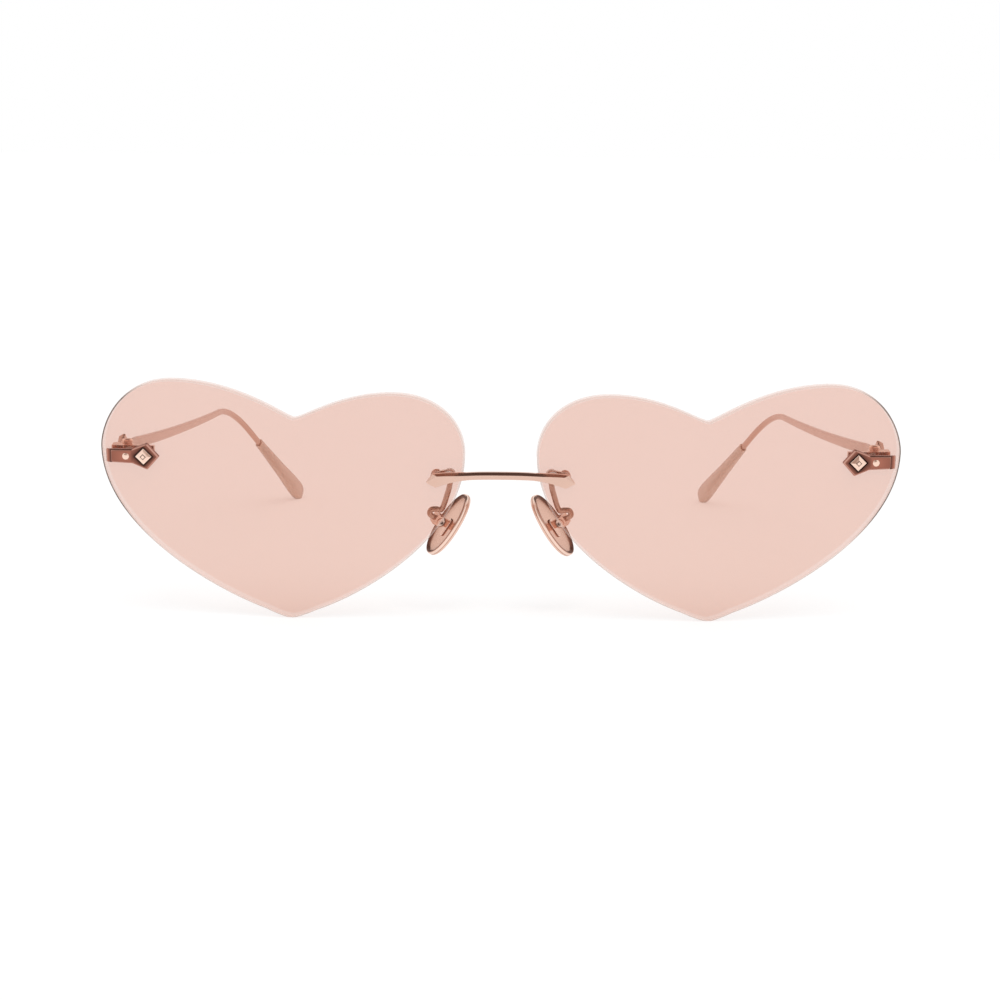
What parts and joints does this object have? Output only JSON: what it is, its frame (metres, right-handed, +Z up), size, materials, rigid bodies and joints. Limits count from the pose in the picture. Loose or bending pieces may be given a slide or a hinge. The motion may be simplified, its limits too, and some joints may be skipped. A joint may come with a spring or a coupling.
{
  "type": "heart shaped sunglasses",
  "caption": "Rimless sunglasses with heart shaped tinted lenses, a slim metal bridge, folding metal temples with soft tips and rocking nose pads.",
  "frame": {"origin": "centre of the footprint, on the surface that the open sunglasses stand on", "axes": "+X towards the wearer's left, +Y back along the temples, +Z up"},
  "size_m": [0.1438, 0.1406, 0.0439],
  "materials": {
    "lens": "polished clear blush tint with a thin reflective film",
    "rose_gold": "polished rose gold plate",
    "pale_gold": "polished pale rose gold plate",
    "clear": "clear soft plastic",
    "blush": "polished translucent blush plastic"
  },
  "bodies": {
    "front": {"lens_left": "lens", "lens_right": "lens", "bridge": "rose_gold", "lens_bushes": "clear", "lens_washers": "clear", "cap_nuts": "rose_gold", "mount_screws": "pale_gold", "pad_arm_left": "rose_gold", "pad_arm_right": "rose_gold", "pad_box_left": "rose_gold", "pad_box_right": "rose_gold", "pad_screws": "pale_gold", "endpiece_left": "rose_gold", "endpiece_right": "rose_gold", "front_ornament_left": "rose_gold", "front_ornament_right": "rose_gold", "front_stud_left": "pale_gold", "front_stud_right": "pale_gold", "hinge_screws": "pale_gold", "hinge_washers": "pale_gold"},
    "temple_left": {"temple_left": "rose_gold", "temple_stud_left": "pale_gold", "temple_tip_left": "blush"},
    "nose_pad_left": {"nose_pad_left": "rose_gold"},
    "temple_right": {"temple_right": "rose_gold", "temple_stud_right": "pale_gold", "temple_tip_right": "blush"},
    "nose_pad_right": {"nose_pad_right": "rose_gold"}
  },
  "joints": [
    {"name": "temple_left_fold", "type": "hinge", "parent": "front", "child": "temple_left", "pos_m": [0.0678, -0.06017, 0.03028], "axis": [0, 0.0465, 0.9989], "range_deg": [0, 80.5]},
    {"name": "temple_right_fold", "type": "hinge", "parent": "front", "child": "temple_right", "pos_m": [-0.0678, -0.06017, 0.03028], "axis": [0, -0.0465, -0.9989], "range_deg": [0, 72.5]},
    {"name": "nose_pad_left_rock", "type": "hinge", "parent": "front", "child": "nose_pad_left", "pos_m": [0.01114, -0.05763, 0.01724], "axis": [0.3006, 0.9089, 0.2891], "range_deg": [-10, 10]},
    {"name": "nose_pad_right_rock", "type": "hinge", "parent": "front", "child": "nose_pad_right", "pos_m": [-0.01114, -0.05763, 0.01724], "axis": [0.3006, -0.9089, -0.2891], "range_deg": [-10, 10]}
  ]
}
